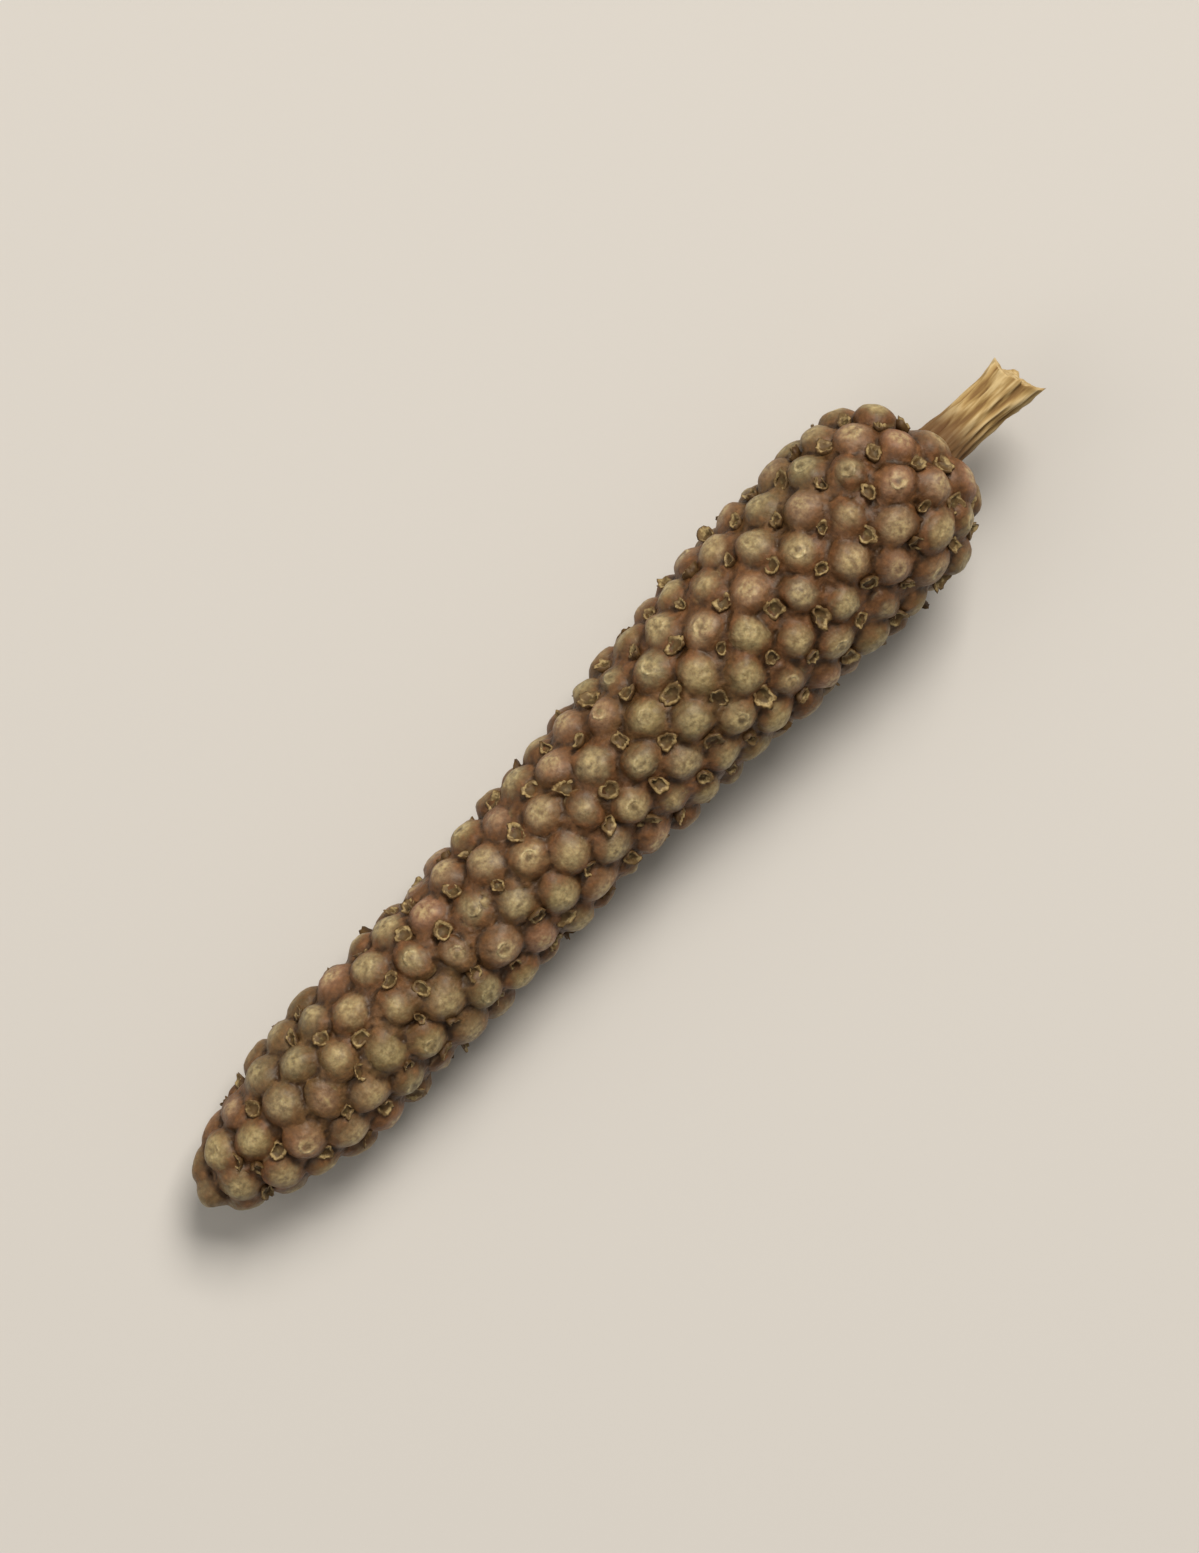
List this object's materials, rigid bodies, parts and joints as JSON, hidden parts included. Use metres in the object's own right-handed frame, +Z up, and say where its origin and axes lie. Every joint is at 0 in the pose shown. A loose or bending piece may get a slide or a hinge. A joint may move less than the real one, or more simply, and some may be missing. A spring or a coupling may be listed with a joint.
{
  "type": "long pepper",
  "caption": "Dried long pepper lying on its side: a slim tapering fruit spike of small domed berries with dry bracts between them, and a short cut stalk.",
  "frame": {"origin": "on the table, under the middle of the whole pepper's box", "axes": "+X along the spike from its tip towards its cut stalk, +Z up from the table it lies on"},
  "size_m": [0.045, 0.0082, 0.0081],
  "materials": {
    "dried_berries": "dried berry skin, dull reddish brown to olive tan, wrinkled, with a faint waxy sheen",
    "dried_stalk": "dry straw-coloured plant fibre, matt, ridged lengthwise"
  },
  "bodies": {
    "root": {"fruit_spike": "dried_berries", "stalk": "dried_stalk"}
  },
  "joints": []
}
